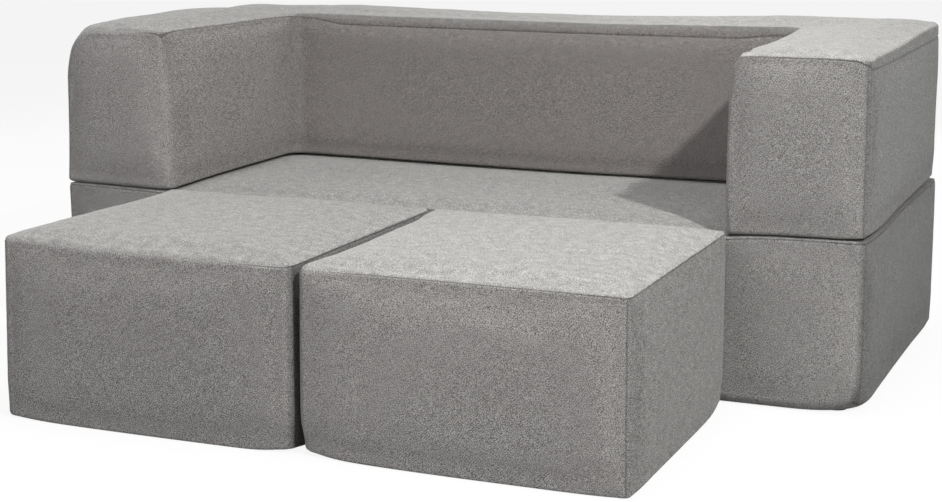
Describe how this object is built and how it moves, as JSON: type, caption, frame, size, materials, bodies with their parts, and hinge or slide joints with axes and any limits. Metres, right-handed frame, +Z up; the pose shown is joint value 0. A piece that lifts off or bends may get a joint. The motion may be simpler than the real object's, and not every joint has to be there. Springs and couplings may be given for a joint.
{
  "type": "modular foam play sofa",
  "caption": "Low foam sofa with a base block, a U-shaped back-and-arms block that flips open on a rear sewn hinge, and square ottomans in front.",
  "frame": {"origin": "on the floor under the middle of the whole set, ottomans included", "axes": "+X to the sitter's left as seen from the front (the set's longest extent), +Y from the ottomans to the back, +Z up"},
  "size_m": [1.46, 1.2066, 0.5653],
  "materials": {
    "cover_fabric": "heathered grey twill with a short brushed nap",
    "non_slip_fabric": "dark grey woven cloth with small raised grip dots",
    "foam": null,
    "zip_tape": "grey woven zip tape with a nylon coil",
    "zip_slider": "dark zinc slider with no pull tab"
  },
  "bodies": {
    "base": {"base_cover": "cover_fabric", "base_bottom_panel": "non_slip_fabric", "base_zip_tape": "zip_tape", "base_foam_core": "foam", "hinge_leaf_base": "cover_fabric"},
    "back_and_arms": {"back_arms_cover": "cover_fabric", "back_arms_bottom_panel": "non_slip_fabric", "back_arms_zip_tape": "zip_tape", "left_arm_foam_core": "foam", "backrest_foam_core": "foam", "right_arm_foam_core": "foam", "hinge_leaf_back": "cover_fabric"},
    "left_ottoman": {"left_ottoman_cover": "cover_fabric", "left_ottoman_bottom_panel": "non_slip_fabric", "left_ottoman_zip_tape": "zip_tape", "left_ottoman_foam_core": "foam"},
    "right_ottoman": {"right_ottoman_cover": "cover_fabric", "right_ottoman_bottom_panel": "non_slip_fabric", "right_ottoman_zip_tape": "zip_tape", "right_ottoman_foam_core": "foam"},
    "base_slider": {"base_zip_slider": "zip_slider"},
    "back_arms_slider": {"back_arms_zip_slider": "zip_slider"},
    "left_ottoman_slider": {"left_ottoman_zip_slider": "zip_slider"},
    "right_ottoman_slider": {"right_ottoman_zip_slider": "zip_slider"}
  },
  "joints": [
    {"name": "back_flip", "type": "hinge", "parent": "base", "child": "back_and_arms", "pos_m": [0, 0.6033, 0.28315], "axis": [-1, 0, 0], "range_deg": [0, 180]},
    {"name": "left_ottoman_pull_out", "type": "slide", "parent": "base", "child": "left_ottoman", "axis": [0, -1, 0], "range_m": [0, 0.6]},
    {"name": "right_ottoman_pull_out", "type": "slide", "parent": "base", "child": "right_ottoman", "axis": [0, -1, 0], "range_m": [0, 0.6]},
    {"name": "base_zip_run", "type": "slide", "parent": "base", "child": "base_slider", "axis": [-1, 0, 0], "range_m": [0, 1.274]},
    {"name": "back_arms_zip_run", "type": "slide", "parent": "back_and_arms", "child": "back_arms_slider", "axis": [-1, 0, 0], "range_m": [0, 1.274]},
    {"name": "left_ottoman_zip_run", "type": "slide", "parent": "left_ottoman", "child": "left_ottoman_slider", "axis": [-1, 0, 0], "range_m": [0, 0.324]},
    {"name": "right_ottoman_zip_run", "type": "slide", "parent": "right_ottoman", "child": "right_ottoman_slider", "axis": [-1, 0, 0], "range_m": [0, 0.324]}
  ]
}
